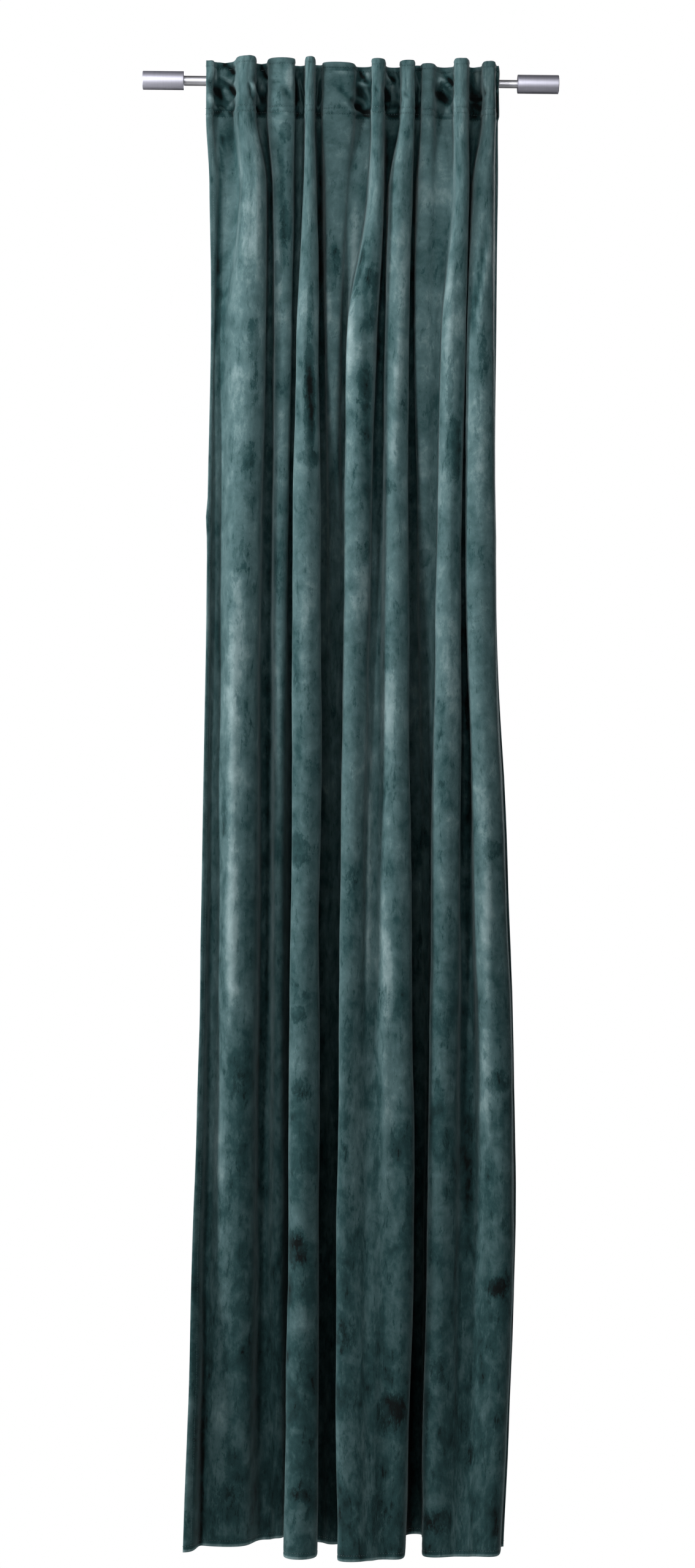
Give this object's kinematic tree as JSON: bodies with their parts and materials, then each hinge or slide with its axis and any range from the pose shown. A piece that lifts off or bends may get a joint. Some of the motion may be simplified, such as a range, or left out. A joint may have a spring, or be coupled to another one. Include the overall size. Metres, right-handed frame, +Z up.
{
  "type": "curtain on a rod",
  "caption": "Velvet curtain panel hanging in uneven folds from hidden tabs on a slim telescopic rod with plain cylinder finials.",
  "frame": {"origin": "on the rod's axis, halfway between its two ends, where the brackets that hold the rod up are centred", "axes": "+Z up along the hanging cloth, +X along the rod to the right of someone facing the curtain, -Y towards the room"},
  "size_m": [0.674, 0.169, 2.419],
  "materials": {
    "velvet": "dark green velvet with a crushed nap",
    "tab_cloth": "dark green woven strip",
    "rod_steel": "satin",
    "finial_aluminium": "satin"
  },
  "bodies": {
    "root": {"curtain": "velvet", "tab_1": "tab_cloth", "tab_2": "tab_cloth", "tab_3": "tab_cloth", "tab_4": "tab_cloth", "tab_5": "tab_cloth", "tab_6": "tab_cloth", "tab_7": "tab_cloth", "tab_8": "tab_cloth", "tab_9": "tab_cloth", "rod_outer_tube": "rod_steel", "rod_inner_tube": "rod_steel", "finial_left": "finial_aluminium", "finial_right": "finial_aluminium"}
  },
  "joints": []
}
